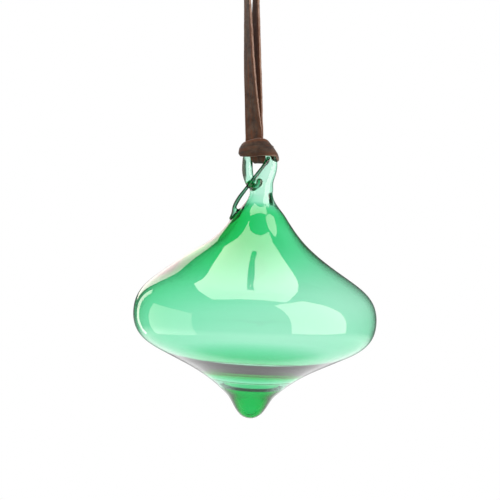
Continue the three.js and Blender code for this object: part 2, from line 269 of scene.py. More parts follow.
def strapTree():
    # Carries a strap's section along a route of vertices, each with the way its width points, its width and its bow
    seam = 0.12  # how far round the section the grid's two sides meet, in turns
    waver = 260  # how fast the unevenness comes and goes along the strap, to the metre
    tree, given, out = newTree(
        "strapAlongRoute",
        "GeometryNodeTree",
        [
            ("Geometry", "Geometry"), ("Thickness", "Float", 0.001), ("Corner", "Float", 0.35),
            ("Cup", "Float", 0.0), ("Unevenness", "Float", 0.0), ("Seed", "Float", 0.0),
            ("Flesh Side", "Float", 1.0), ("Steps", "Int", 100), ("Sides", "Int", 28), ("Material", "Material"),
        ],
        [("Geometry", "Geometry")],
    )
    get = given.outputs
    route = place(tree, "GeometryNodeMeshToCurve", {0: get["Geometry"]}).outputs[0]
    length = place(tree, "GeometryNodeCurveLength", {0: route}).outputs[0]

    # A grid stands for the strap: across it goes round the section, up it goes along the route, and its
    # first and last rows shrink to a point, which closes the ends
    rows = figure(tree, "ADD", get["Steps"], 3)
    grid, turnShare, row, last = openGrid(tree, figure(tree, "ADD", get["Sides"], 1), rows)
    factor = clamped(tree, figure(tree, "DIVIDE", figure(tree, "SUBTRACT", row, 1), get["Steps"]))
    cap = clamped(tree, figure(tree, "MINIMUM", row, figure(tree, "SUBTRACT", last, row)))

    def named(title, kind):
        return place(tree, "GeometryNodeInputNamedAttribute", {0: title}, data_type=kind).outputs[0]

    def sampled(title, kind):
        return place(tree, "GeometryNodeSampleCurve", {
            "Curves": route, "Value": named(title, kind), "Factor": factor,
        }, data_type=kind, use_all_curves=True)

    sideways = sampled("side", "FLOAT_VECTOR")
    width = sampled("width", "FLOAT").outputs[0]
    tangent = sideways.outputs["Tangent"]
    lean = steer(tree, "DOT_PRODUCT", sideways.outputs[0], tangent)
    across = steer(tree, "NORMALIZE", steer(tree, "SUBTRACT", sideways.outputs[0], lengthen(tree, tangent, lean)))
    through = steer(tree, "CROSS_PRODUCT", tangent, across)

    angle = figure(tree, "MULTIPLY", figure(tree, "ADD", turnShare, 0.5 + seam), 2 * math.pi)
    shares = []
    for turn in ("COSINE", "SINE"):
        swing = figure(tree, turn, angle)
        size = figure(tree, "POWER", figure(tree, "ABSOLUTE", swing), get["Corner"])
        shares.append(figure(tree, "MULTIPLY", figure(tree, "SIGN", swing), size))
    wide, thick = shares

    along = figure(tree, "MULTIPLY", factor, length)
    wander = place(tree, "ShaderNodeCombineXYZ", {0: figure(tree, "MULTIPLY", along, waver), 1: get["Seed"], 2: wide})
    noise = place(tree, "ShaderNodeTexNoise", {"Vector": wander.outputs[0], "Scale": 1.0, "Detail": 2.0})
    stray = figure(tree, "MULTIPLY", figure(tree, "SUBTRACT", noise.outputs["Fac"], 0.5), get["Unevenness"])
    reach = figure(tree, "MULTIPLY", wide, figure(tree, "ADD", figure(tree, "MULTIPLY", width, 0.5), stray))
    bow = figure(tree, "ADD", sampled("bow", "FLOAT").outputs[0], get["Cup"])
    bowed = figure(tree, "MULTIPLY", figure(tree, "MULTIPLY", wide, wide), bow)
    rise = figure(tree, "MULTIPLY", thick, figure(tree, "MULTIPLY", get["Thickness"], 0.5))
    rise = figure(tree, "ADD", figure(tree, "ADD", rise, bowed), stray)
    offset = steer(
        tree, "ADD",
        lengthen(tree, across, figure(tree, "MULTIPLY", reach, cap)),
        lengthen(tree, through, figure(tree, "MULTIPLY", rise, cap)),
    )
    spot = steer(tree, "ADD", sideways.outputs["Position"], offset)

    # What the leather's material reads
    strapPlace = place(tree, "ShaderNodeCombineXYZ", {0: along, 1: reach, 2: rise}).outputs[0]
    outward = figure(tree, "ABSOLUTE", wide)
    fleshSide = ramp(tree, figure(tree, "MULTIPLY", thick, get["Flesh Side"]), 0.3, 0.9)
    mesh = grid
    for title, value, kind in (
        ("strapPlace", strapPlace, "FLOAT_VECTOR"), ("outward", outward, "FLOAT"), ("fleshSide", fleshSide, "FLOAT"),
    ):
        mesh = place(tree, "GeometryNodeStoreNamedAttribute", {
            "Geometry": mesh, "Name": title, "Value": value,
        }, data_type=kind, domain="POINT").outputs[0]
    mesh = carriedOn(
        tree, mesh,
        ("GeometryNodeSetPosition", {"Position": spot}),
        ("GeometryNodeMergeByDistance", {"Distance": 1e-6}),
        ("GeometryNodeSetShadeSmooth", {}),
        ("GeometryNodeRealizeInstances", {}),
        ("GeometryNodeSetMaterial", {"Material": get["Material"]}),
    )
    tree.links.new(mesh, out.inputs[0])
    return tree


def smoothed(points, steps):
    # A centripetal Catmull-Rom curve through rows of numbers, of which the first three are the place
    rows = np.array(points, float)
    rows = np.vstack([2 * rows[0] - rows[1], rows, 2 * rows[-1] - rows[-2]])
    found = []
    for i in range(1, len(rows) - 2):
        four = rows[i - 1:i + 3]
        gaps = [max(np.linalg.norm(b[:3] - a[:3]), 1e-9) ** 0.5 for a, b in zip(four, four[1:])]
        t = np.concatenate([[0], np.cumsum(gaps)])
        for share in np.arange(steps) / steps:
            u = t[1] + share * (t[2] - t[1])
            level = [four[k] * (t[k + 1] - u) / gaps[k] + four[k + 1] * (u - t[k]) / gaps[k] for k in range(3)]
            two = [
                level[k] * (t[k + 2] - u) / (t[k + 2] - t[k]) + level[k + 1] * (u - t[k]) / (t[k + 2] - t[k])
                for k in range(2)
            ]
            found.append(two[0] * (t[2] - u) / gaps[1] + two[1] * (u - t[1]) / gaps[1])
    found.append(rows[-2])
    return np.array(found)


def makeStrap(name, stops, s):
    # stops are rows of x, y, z, the way that the width points, the width, and how far the edges bow, in millimetres
    rows = smoothed([(*stop, 0)[:8] for stop in stops], steps=10)
    route = bpy.data.meshes.new(name + "Route")
    route.from_pydata([tuple(r * mm) for r in rows[:, :3]], [(i, i + 1) for i in range(len(rows) - 1)], [])
    side = route.attributes.new("side", "FLOAT_VECTOR", "POINT")
    side.data.foreach_set("vector", rows[:, 3:6].ravel())
    for title, column in (("width", 6), ("bow", 7)):
        route.attributes.new(title, "FLOAT", "POINT").data.foreach_set("value", rows[:, column] * mm)
    values = {
        "Thickness": s["thickness"] * mm, "Corner": s["corner"], "Cup": s["cup"] * mm,
        "Unevenness": s["unevenness"] * mm, "Seed": s["seed"], "Steps": s["steps"], "Sides": s["sides"],
        "Flesh Side": s["flesh"], "Material": suede,
    }
    piece = grown(name, route, bpy.data.node_groups["strapAlongRoute"], values)
    return piece, rows[:, :3] * mm


strapTree()
strapWidth = 6.2


# The two strands hang taut from the knot
strandSettings = {"thickness": 1.0, "corner": 0.3, "cup": 0.0, "unevenness": 0.3, "steps": 260, "sides": 28}
strandLooks = {"front": {"seed": 3.0, "flesh": 1.0}, "rear": {"seed": 8.0, "flesh": -1.0}}

# x, y, z in millimetres and the strap's turn in degrees, clockwise from above
frontRoute = [
    (-0.3, -4.1, -77.6, 4), (-0.3, -4.1, -75, 5), (-0.32, -4.0, -73.6, 12), (-0.6, -3.5, -70, 26),
    (-0.92, -3.08, -65.5, 36), (-1.2, -2.7, -61, 43), (-1.7, -2.1, -53, 51), (-2.0, -1.6, -46, 57),
    (-2.3, -1.1, -35, 65), (-2.7, -0.8, -24, 73), (-3.3, -0.6, -18, 77), (-3.9, -0.3, -12, 83),
    (-3.7, -0.1, -6, 88), (-2.2, 0, -2, 90), (-1.0, 0, -0.4, 90), (-0.85, 0, 0.8, 90),
]
rearRoute = [
    (0.1, -2.6, -77.6, 4), (0.1, -2.6, -75, 5), (0.12, -2.5, -73.6, 12), (0.15, -2.0, -70, 26),
    (0.3, -1.45, -65.5, 36), (0.4, -1.0, -61, 43), (0.45, -0.6, -53, 51), (0.45, -0.3, -46, 57),
    (0.5, -0.1, -35, 65), (0.6, 0, -24, 73), (1.5, 0.2, -18, 77), (2.7, 0.3, -12, 83),
    (3.2, 0.1, -6, 88), (2.1, 0, -2, 90), (1.0, 0, -0.4, 90), (0.85, 0, 0.8, 90),
]


def strandStops(route):
    stops = []
    for x, y, z, turn in route:
        angle = math.radians(turn)
        stops.append((x, y, z, math.cos(angle), -math.sin(angle), 0, strapWidth))
    return stops


strandFront, frontPath = makeStrap("strandFront", strandStops(frontRoute), {**strandSettings, **strandLooks["front"]})
strandRear, rearPath = makeStrap("strandRear", strandStops(rearRoute), {**strandSettings, **strandLooks["rear"]})
print("strands made")


# The hitch is one strap, from the front strand round the eye to the rear strand
hitchSettings = {
    "thickness": 1.1, "corner": 0.36, "cup": 0.0, "unevenness": 0.35, "seed": 5.0, "flesh": -1.0,
    "steps": 420, "sides": 28,
}
bar = np.array([1.6, 0, -80])  # the middle of the eye's bar, in millimetres

# x, y, z from there, the way that the width points, the width, and how far the edges bow
hitchStops = [
    (-1.9, -4.15, 2.6, 1, -0.06, 0, 5.8, 0),
    (-1.2, -4.15, 1.0, 1, -0.03, 0, 5.7, 0),
    (-0.6, -3.95, -0.8, 1, 0, 0, 5.7, 0),
    (-0.4, -3.55, -2.3, 1, 0, 0, 5.6, 0.1),
    (-0.2, -2.9, -3.3, 1, 0, 0, 4.9, 0.3),
    (0, -1.7, -3.95, 1, 0, 0, 3.9, 0.3),
    (0, 0, -4.1, 1, 0, 0, 3.5, 0.2),
    (0, 2.79, -2.79, 1, 0, 0, 3.5, 0),
    (-0.7, 4.25, -0.3, 1, 0, 0.2, 4, 0),
    (-2.7, 4.65, 1.4, 0.6, 0, 0.8, 4.7, -0.3),
    (-5.3, 3.7, 1.2, 0.3, 0, 0.95, 4.6, -0.5),
    (-6.8, 2.0, 0.1, 0.15, 0, 0.99, 4.0, -0.7),
    (-7.1, 0, -0.2, 0.1, 0, 1, 3.8, -0.8),
    (-6.7, -2.8, 0, 0.1, 0, 1, 4.4, -0.9),
    (-4.8, -5.2, 0.4, 0, 0, 1, 5.7, -0.9),
    (-2.2, -6.0, 0.8, 0, 0, 1, 6.3, -0.8),
    (0.6, -6.15, 1.2, 0, 0, 1, 6.4, -0.8),
    (3.3, -5.7, 1.0, -0.15, 0.3, 0.94, 6.1, -0.7),
    (5.3, -4.1, 0.3, -0.42, 0.55, 0.72, 6, -0.6),
    (6.0, -2.2, -0.6, -0.52, 0.2, 0.84, 6.3, -0.8),
    (6.1, 0, -0.9, -0.54, 0, 0.84, 6.2, -0.9),
    (5.9, 2.3, -0.9, -0.5, 0, 0.86, 5.6, -0.8),
    (4.7, 3.7, -0.4, -0.3, 0, 0.95, 4.6, -0.5),
    (2.4, 3.3, 0.7, -0.7, 0, 0.7, 4.2, 0),
    (0.4, 2.9, -0.1, -1, 0, 0.2, 3.6, 0),
    (0, 1.84, -1.84, -1, 0, 0, 3.5, 0),
    (0, 0, -2.6, -1, 0, 0, 3.5, 0),
    (0, -1.84, -1.84, -1, 0, 0, 3.5, 0),
    (-0.2, -2.6, -0.2, -1, 0, 0, 3.6, 0),
    (-0.8, -2.6, 1.4, -1, 0, 0, 4.4, 0),
    (-1.5, -2.6, 2.6, -1, 0.06, 0, 5.6, 0),
]
hitchPlaced = [(*(np.array(stop[:3]) + bar), *stop[3:]) for stop in hitchStops]
hitchStrap, _ = makeStrap("hitchStrap", hitchPlaced, hitchSettings)
print("hitch made")


# The knot and tails are above the picture's edge
tailSettings = {
    "thickness": 1.0, "corner": 0.3, "cup": 0.15, "unevenness": 0.3, "seed": 11.0, "flesh": 1.0,
    "steps": 40, "sides": 28,
}
tailBase = 11.8


def tailStops(way):
    return [
        (way * 0.65, -0.6, tailBase - 2, 0, 1, 0, 4.6),
        (way * 0.65, -0.6, tailBase + 0.8, 0, 1, 0, 4.6),
        (way * 2.2, -0.3, tailBase + 5.5, 0.15, 1, 0, strapWidth),
        (way * 5, 0, tailBase + 11, 0.3, 1, 0, strapWidth),
    ]


tailLeft, _ = makeStrap("tailLeft", tailStops(-1), tailSettings)
tailRight, _ = makeStrap("tailRight", tailStops(1), tailSettings)

knotSettings = {
    "thickness": 1.1, "corner": 0.34, "cup": -0.35, "unevenness": 0.3, "seed": 21.0, "flesh": -1.0,
    "steps": 150, "sides": 28,
    "base": 1.1,
    "height": 10.4,
    "core": {"thickness": 2.6, "corner": 0.5, "steps": 12},  # the pair of strands inside
    # each turn's middle height, its lean in degrees, where its ends tuck in, and its width
    "turns": [(4.9, 26, 200, 5.0), (7.9, -24, 20, 5.0)],
    "turnAngle": 420,
    "turnSteps": 14,
    "radius": 3.15,
    "tuckedRadius": 1.5,
    "tuckShare": 0.13,  # how much of a turn goes in under the other at each end
    "narrowing": 1.2,  # and how much narrower it gets there
}


def turnStops(s, middle, lean, start, width):
    # Once round the pair and a little more, with both ends tucked in under the other turn
    slope = math.tan(math.radians(lean))
    stops = []
    for step in range(s["turnSteps"] + 1):
        share = step / s["turnSteps"]
        turn = math.radians(start + s["turnAngle"] * share)
        out = min(1, min(share, 1 - share) / s["tuckShare"])
        radius = s["tuckedRadius"] + (s["radius"] - s["tuckedRadius"]) * out ** 0.6
        x, y = radius * math.cos(turn), radius * math.sin(turn)
        stops.append((x, y, middle - x * slope, slope * 0.6, 0, 1, width - s["narrowing"] * (1 - out)))
    return stops


def makeKnot(s):
    # The pair of strands running up inside, and the strap's turns packed round it
    pair = [(0, 0, s["base"] + share * s["height"], 0, -1, 0, 4.6) for share in (0, 0.5, 1)]
    parts = [makeStrap("knotPair", pair, {**s, **s["core"]})[0]]
    for n, turn in enumerate(s["turns"]):
        parts.append(makeStrap("knotTurn" + "AB"[n], turnStops(s, *turn), {**s, "seed": s["seed"] + n})[0])
    with bpy.context.temp_override(active_object=parts[0], selected_editable_objects=parts):
        bpy.ops.object.join()
    parts[0].name = "topKnot"
    return parts[0]


topKnot = makeKnot(knotSettings)
print("knot and tails made")

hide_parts("strand_front")
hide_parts("strand_rear")
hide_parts("top_knot")
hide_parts("strap_tail_left")
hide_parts("strap_tail_right")
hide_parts("hitch_band", "hitch_turn_front", "hitch_turn_rear")
for strand in (strandFront, strandRear):
    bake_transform(strand)
for piece in (topKnot, tailLeft, tailRight):
    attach(piece, "strap")
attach(hitchStrap, "hitch")


# The glass is shaped upright, in millimetres from the middle of its bar, and then hung there and tilted
glassSettings = {
    "axis": 1.6,  # how far the bulb's own axis is to the right of the bar's middle
    "tilt": 2.9,  # in degrees
    "segments": 192,
    "outlineSteps": 216,
    "fuseDepth": 26.2,  # where the smooth bulb takes over from the fused neck and eye
    "fuseReach": 12.1,  # how far the fused glass reaches out from the bulb's axis
    "fuseTop": 2.7,  # and over the bar
    "fuseCell": 0.31,
    "fillet": 0.9,
    "threadFillet": 0.54,
    "dome": (4.3, 5.4),  # radius and height of the rounded top of the neck
    # the wall's thickness at depths below the bar, and how far the hollow sits to the right of the outside
    "wall": [
        (-5, 0.27), (11, 0.27), (15, 0.33), (18.5, 0.42), (25, 1.6), (30, 1.5), (50, 0.62), (60, 0.56), (66, 0.52),
        (74.7, 0.36), (82.9, 1.95), (83.9, 0.36), (87.8, 0.4), (88.1, 2.05), (94, 2.3), (97, 2.1), (101, 1.8),
    ],
    "drift": [(15, 0), (22, 0.35), (30, 0.8), (40, 0.9), (50, 0.45), (58, 0.22), (66, 0.1), (75, 0.1), (84, 0)],
    "swelling": (1.3, 41, 6.5),  # how far the left flank stands out, at what depth and over what depth
    # how wide a rim of painted shade the glass shows, down the bulb and on what is drawn off it
    "bulbPaintedShade": [
        (14, 0.28), (19, 0.4), (34, 0.38), (46, 0.24), (64, 0.24), (71, 0), (87.4, 0), (88.2, 0.4), (91, 0.53),
        (96, 0.5), (98.5, 0),
    ],
    "hollowPaintedShade": [(22, 0), (28, 0.33), (60, 0.3), (68, 0)],  # and on the left of the hollow,
    "hollowFade": 12,  # fully from this far left of the axis
    "paintedShades": {"rightLimb": 0.42, "leftLimb": 0.62, "curl": 1.0, "thread": 1.0},
    "paintedShadeFade": 0.6,  # how far off a rod its own share of painted shade ends
    # painted shade in dark lines down the neck's right side and the left limb: from x, z to x, z, and half their
    # width
    "paintedShadeStreaks": [
        ((5.6, -20.5), (4.7, -14.5), 0.9), ((-4.9, -12.0), (-5.4, -1.5), 1.3), ((-2.2, -6.5), (-2.9, -1.0), 0.5),
    ],
    "rowStep": 9,  # every how many of the outline's fine steps the skin has a row
    "fineRows": (87.5, 88.4),  # between these depths it has them all
}

# radius, depth, lean off straight down in degrees, and how far the lean is kept before and after
stations = [
    (4.25, 15.2, 0, 0, 3.5),
    (9.5, 24, 34, 3, 8.1),
    (25.7, 40.6, 55, 10.3, 14.2),
    (45, 61.3, 0, 10.5, 9.1),
    (31.2, 76.2, -63, 7.7, 7.9),
    (9.1, 90.5, -46, 11.5, 4),
    (0, 99.4, -90, 5.4, 0),
]


def downwards(lean):
    angle = math.radians(lean)
    return np.array([math.sin(angle), -math.cos(angle)])


def bulbOutline(steps):
    # Points of radius and height down the outside, and the way that the outline runs at each
    points, ways = [], []
    for (r0, d0, lean0, _, after), (r1, d1, lean1, before, _) in zip(stations, stations[1:]):
        a, d = np.array([r0, -d0]), np.array([r1, -d1])
        b, c = a + downwards(lean0) * after, d - downwards(lean1) * before
        for t in np.arange(steps) / steps:
            points.append((1 - t) ** 3 * a + 3 * t * (1 - t) ** 2 * b + 3 * t * t * (1 - t) * c + t ** 3 * d)
            ways.append((1 - t) ** 2 * (b - a) + 2 * t * (1 - t) * (c - b) + t * t * (d - c))
    points.append(np.array([0, -stations[-1][1]]))
    ways.append(downwards(-90))
    ways = np.array([w / np.linalg.norm(w) for w in ways])
    return np.array(points), ways


outline, outlineWays = bulbOutline(glassSettings["outlineSteps"])


def turnedTree():
    # Turns a profile of radius and height, held as a row of vertices, about the upright axis
    tree, given, out = newTree(
        "turnedGlass",
        "GeometryNodeTree",
        [("Geometry", "Geometry"), ("Segments", "Int", 192), ("Material", "Material")],
        [("Geometry", "Geometry")],
    )
    get = given.outputs
    size = place(tree, "GeometryNodeAttributeDomainSize", {0: get["Geometry"]}, component="MESH").outputs[0]
    grid, turnShare, row, _ = openGrid(tree, figure(tree, "ADD", get["Segments"], 1), size)
    sample = place(tree, "GeometryNodeSampleIndex", {
        "Geometry": get["Geometry"], "Value": tree.nodes.new("GeometryNodeInputPosition").outputs[0], "Index": row,
    }, data_type="FLOAT_VECTOR", domain="POINT").outputs[0]
    part = place(tree, "ShaderNodeSeparateXYZ", {0: sample}).outputs
    angle = figure(tree, "MULTIPLY", turnShare, 2 * math.pi)
    spun = place(tree, "ShaderNodeCombineXYZ", {
        0: figure(tree, "MULTIPLY", part["X"], figure(tree, "COSINE", angle)),
        1: figure(tree, "MULTIPLY", part["X"], figure(tree, "SINE", angle)),
        2: part["Z"],
    }).outputs[0]
    mesh = carriedOn(
        tree, grid,
        ("GeometryNodeSetPosition", {"Position": spun}),
        ("GeometryNodeMergeByDistance", {"Distance": 1e-5}),
        ("GeometryNodeFlipFaces", {}),
        ("GeometryNodeRealizeInstances", {}),
        ("GeometryNodeSetMaterial", {"Material": get["Material"]}),
    )
    tree.links.new(mesh, out.inputs[0])
    return tree


def turned(name, profile):
    # profile is in millimetres, and so is the mesh that comes back as points and faces
    start = bpy.data.meshes.new(name + "Profile")
    start.from_pydata([(r, 0, z) for r, z in profile], [(i, i + 1) for i in range(len(profile) - 1)], [])
    piece = grown(name, start, bpy.data.node_groups["turnedGlass"], {"Segments": glassSettings["segments"]})
    points = np.array([v.co for v in piece.data.vertices])
    faces = [tuple(f.vertices) for f in piece.data.polygons]
    bpy.data.objects.remove(piece)
    return points, faces


# The neck, eye and thread are fused into one skin, from rods of overlapping beads.
# x, y, z, half depth, half thickness: the rod looped from the neck over the bar and down to the neck's front
eyeStops = [
    (2.1, 0, -13.3, 3.5, 3.6), (2.9, 0, -10.6, 3.3, 3.1), (4.0, 0, -7.0, 2.7, 2.9), (4.6, 0, -4.2, 2.3, 2.35),
    (4.0, 0, -1.7, 2.0, 1.95), (2.3, 0, -0.1, 1.85, 1.75), (0, 0, 0, 1.75, 1.75), (-2.3, 0, -0.1, 1.8, 1.75),
    (-3.8, 0, -2.2, 1.9, 1.85), (-4.0, 0, -4.9, 2.0, 1.95), (-3.8, -0.2, -7.9, 2.1, 2.0),
    (-3.1, -0.8, -10.8, 2.0, 1.8), (-2.4, -2.0, -12.9, 1.4, 1.3), (-0.9, -3.4, -13.7, 1.0, 1.0),
    (0.4, -3.9, -12.7, 0.95, 0.95), (0.7, -3.9, -11.3, 1.1, 1.1),
]
threadStops = [
    (3.7, -1.9, -2.8, 0.65, 0.65), (1.9, -3.1, -5.7, 0.65, 0.65), (-1.5, -3.7, -10.5, 0.65, 0.65),
    (-4.0, -3.2, -14.2, 0.65, 0.65), (-6.5, -2.4, -17.9, 0.75, 0.75), (-7.9, -1.8, -20.9, 0.75, 0.75),
    (-8.3, -1.4, -23.4, 0.7, 0.7), (-9.2, -1.1, -25.4, 0.5, 0.5),
]
webStops = [(-8.0, -1.7, -21.8, 0.5, 0.5), (-6.8, -1.6, -22.6, 0.7, 0.8), (-5.0, -1.4, -23.2, 1.0, 1.0)]


def beads(stops):
    # A rod as a row of flattened balls: centres, the ways along, across and through, half depths, half thicknesses
    rows = smoothed(stops, steps=14)
    way = np.gradient(rows[:, :3], axis=0)
    way /= np.linalg.norm(way, axis=1)[:, None]
    side = np.array([0.0, 1, 0]) - way * way[:, 1:2]
    side /= np.linalg.norm(side, axis=1)[:, None]
    return rows[:, :3], way, side, np.cross(way, side), rows[:, 3], rows[:, 4]


def rodField(points, chain):
    # How far each point is outside the rod, in millimetres, and far away just a large number
    centres = chain[0]
    margin = chain[4].max() + 2
    close = ((points > centres.min(0) - margin) & (points < centres.max(0) + margin)).all(1)
    there = points[close]
    nearest = np.full(len(there), 1e9)
    for centre, way, side, through, deep, thick in zip(*chain):
        away = there - centre
        mean = (deep + thick) / 2
        spread = np.sqrt((away @ side / deep) ** 2 + (away @ through / thick) ** 2 + (away @ way / mean) ** 2)
        nearest = np.minimum(nearest, (spread - 1) * min(deep, thick))
    field = np.full(len(points), 1e9)
    field[close] = nearest
    return field


def fused(a, b, fillet):
    # Two bodies as one, with the corner between them filled
    share = np.clip(0.5 + 0.5 * (b - a) / fillet, 0, 1)
    return b * (1 - share) + a * share - fillet * share * (1 - share)


eyeChain, threadChain, webChain = beads(eyeStops), beads(threadStops), beads(webStops)
hollowChain = beads(eyeStops[:-4])  # the end of the rod is solid
rightChain, leftChain, curlChain = beads(eyeStops[:6]), beads(eyeStops[7:12]), beads(eyeStops[12:])


def wallAt(depth):
    # Between its stops the wall eases from one thickness to the next
    depths, walls = np.array(glassSettings["wall"]).T
    before = np.clip(np.searchsorted(depths, depth) - 1, 0, len(depths) - 2)
    share = np.clip((depth - depths[before]) / (depths[before + 1] - depths[before]), 0, 1)
    return walls[before] + (walls[before + 1] - walls[before]) * share * share * (3 - 2 * share)


def driftAt(depth):
    # How the hollow is moved at each depth, evened out so that it has no kinks
    near = [np.interp(depth + step, *zip(*glassSettings["drift"])) for step in (-2, -1, 0, 1, 2)]
    return np.stack([np.mean(near, axis=0), 0 * depth, 0 * depth], -1)


def paintedRimShade(points):
    # How far in from its outline the glass takes painted shade, standing in for the dark surroundings seen through
    # its edges: most on the thread and the curled end of the rod
    share = np.interp(-points[:, 2], *zip(*glassSettings["bulbPaintedShade"]))
    height, middle, spread = glassSettings["swelling"]
    share -= share * np.exp(-((points[:, 2] + middle) / spread) ** 2) * (points[:, 0] < glassSettings["axis"])
    chains = {"rightLimb": rightChain, "leftLimb": leftChain, "curl": curlChain, "thread": threadChain}
    for title, chain in chains.items():
        near = np.clip(1 - rodField(points, chain) / glassSettings["paintedShadeFade"], 0, 1)
        share += (glassSettings["paintedShades"][title] - share) * near
    # Each line of painted shade darkens the glass fully along its middle
    for (x0, z0), (x1, z1), reach in glassSettings["paintedShadeStreaks"]:
        along = (points[:, 2] - z0) / (z1 - z0)
        off = np.abs(points[:, 0] - x0 - (x1 - x0) * along)
        near = np.clip(2 - 2 * off / reach, 0, 1) * np.clip(4 * np.minimum(along, 1 - along), 0, 1)
        share += (1 - share) * near
    return share


def swollen(points):
    # Hand-blown glass isn't quite round: its left flank stands out a little
    height, middle, spread = glassSettings["swelling"]
    depth = -points[:, 2]
    ways = [np.interp(depth, -outline[:, 1], outlineWays[:, n]) for n in (0, 1)]
    out = points[:, :2] - (glassSettings["axis"], 0)
    out /= np.maximum(np.linalg.norm(out, axis=1), 1e-6)[:, None]
    push = height * np.exp(-((depth - middle) / spread) ** 2) * np.clip(-out[:, 0], 0, 1) ** 2
    return points + push[:, None] * np.stack([-ways[1] * out[:, 0], -ways[1] * out[:, 1], ways[0]], -1)


def neckField(points):
    # Below the neck's top the turned outline, and over it a dome that the eye grows out of
    out = np.hypot(points[:, 0] - glassSettings["axis"], points[:, 1])
    depth = -points[:, 2]
    radius = np.interp(depth, -outline[:, 1], outline[:, 0])
    upright = np.interp(depth, -outline[:, 1], -outlineWays[:, 1])
    side = np.maximum((out - radius) * upright, stations[0][1] - depth)
    wide, high = glassSettings["dome"]
    dome = np.sqrt((out / wide) ** 2 + ((depth - stations[0][1]) / high) ** 2) * wide - wide
    return np.minimum(side, dome)


def outerField(points):
    body = fused(neckField(points), rodField(points, eyeChain), glassSettings["fillet"])
    body = fused(body, rodField(points, webChain), glassSettings["fillet"])
    return fused(body, rodField(points, threadChain), glassSettings["threadFillet"])


def hollowField(points):
    points = points - driftAt(-points[:, 2])
    body = fused(neckField(points), rodField(points, hollowChain), glassSettings["fillet"])
    return body + wallAt(-points[:, 2])


def netOver(field, low, high, cell):
    # A skin of quads where the field changes sign, one vertex for each cell that the skin crosses
    counts = np.round((np.array(high) - low) / cell).astype(int) + 1
    axes = [low[i] + cell * np.arange(counts[i]) for i in range(3)]
    values = field(np.stack(np.meshgrid(*axes, indexing="ij"), -1).reshape(-1, 3)).reshape(counts)
    inner = counts - 1
    corners = [(i, j, k) for i in (0, 1) for j in (0, 1) for k in (0, 1)]

    def at(corner):
        i, j, k = corner
        return values[i:i + inner[0], j:j + inner[1], k:k + inner[2]]

    total = np.zeros((*inner, 3))
    hits = np.zeros(inner)
    for a in corners:
        for axis in range(3):
            if a[axis]:
                continue
            b = tuple(c + (n == axis) for n, c in enumerate(a))
            va, vb = at(a), at(b)
            crossing = (va < 0) != (vb < 0)
            share = np.where(crossing, va / np.where(crossing, va - vb, 1), 0)
            spot = np.broadcast_to(np.array(a, float), (*inner, 3)).copy()
            spot[..., axis] += share
            total += spot * crossing[..., None]
            hits += crossing
    used = hits > 0
    number = np.full(inner, -1)
    number[used] = np.arange(used.sum())
    cells = np.argwhere(used)
    points = np.array(low) + cell * (cells + total[used] / hits[used][:, None])
    faces = []
    for axis in range(3):
        u, v = [n for n in range(3) if n != axis]
        ahead = np.take(values, range(1, counts[axis]), axis)
        behind = np.take(values, range(counts[axis] - 1), axis)
        crossing = (ahead < 0) != (behind < 0)
        for spot in np.argwhere(crossing):
            if min(spot[u], spot[v]) < 1 or spot[u] >= inner[u] or spot[v] >= inner[v]:
                continue
            ring = []
            for du, dv in ((0, 0), (1, 0), (1, 1), (0, 1)):
                near = spot.copy()
                near[u] -= du
                near[v] -= dv
                ring.append(int(number[tuple(near)]))
            goesIn = ahead[tuple(spot)] < 0
            faces.append(tuple(ring if goesIn == (axis == 1) else ring[::-1]))
    push = 0.02
    for _ in range(3):
        slope = np.stack([
            (field(points + push * np.eye(3)[n]) - field(points - push * np.eye(3)[n])) / (2 * push) for n in range(3)
        ], -1)
        points -= slope * (field(points) / np.maximum((slope ** 2).sum(1), 1e-6))[:, None]
    return points, faces


def parted(points, faces):
    # Where two folds of a net share an edge, one of them gets a vertex of its own and draws back a little
    while True:
        quads = np.array(faces)
        sides = np.sort(np.stack([quads, np.roll(quads, -1, 1)], -1).reshape(-1, 2), 1)
        edges, uses = np.unique(sides, axis=0, return_counts=True)
        crowded = edges[uses > 2]
        if not len(crowded):
            return points, faces
        spot, end = (int(v) for v in crowded[0])
        around = list(np.flatnonzero((quads == spot).any(1)))
        fold = [n for n in around if end in faces[n]][:1]
        grows = True
        while grows:
            met = {v for n in fold for v in beside(faces[n], spot) if v != end}
            more = [n for n in around if n not in fold and beside(faces[n], spot) & met]
            grows = bool(more)
            fold += more
        points = np.vstack([points, points[spot] * 0.9 + points[[v for n in fold for v in faces[n]]].mean(0) * 0.1])
        for n in fold:
            faces[n] = tuple(len(points) - 1 if v == spot else v for v in faces[n])


def beside(face, vertex):
    at = face.index(vertex)
    return {face[at - 1], face[(at + 1) % len(face)]}


def lowerRim(faces, points, height):
    # The open lower edge of a net, walked anticlockwise from vertex to vertex
    ways = dict.fromkeys((a, b) for f in faces for a, b in zip(f, f[1:] + f[:1]))
    ahead = {a: b for a, b in ways if (b, a) not in ways and points[a][2] < height and points[b][2] < height}
    ring = [next(iter(ahead))]
    while ahead[ring[-1]] != ring[0]:
        ring.append(ahead[ring[-1]])
    return ring


def turnOf(point):
    return math.atan2(point[1], point[0] - glassSettings["axis"])


def zipped(upper, lower, points):
    # Triangles between two rings of vertices, both anticlockwise and starting from the same side
    turns = []
    for ring in (upper, lower):
        start = int(np.argmin([turnOf(points[n]) for n in ring]))
        ring[:] = ring[start:] + ring[:start]
        turns.append(np.unwrap([turnOf(points[n]) for n in ring + ring[:1]]))
    faces, i, j = [], 0, 0
    while i < len(upper) or j < len(lower):
        a, b = upper[i % len(upper)], lower[j % len(lower)]
        if j == len(lower) or (i < len(upper) and turns[0][i + 1] < turns[1][j + 1]):
            i += 1
            faces.append((a, b, upper[i % len(upper)]))
        else:
            j += 1
            faces.append((a, b, lower[j % len(lower)]))
    return faces


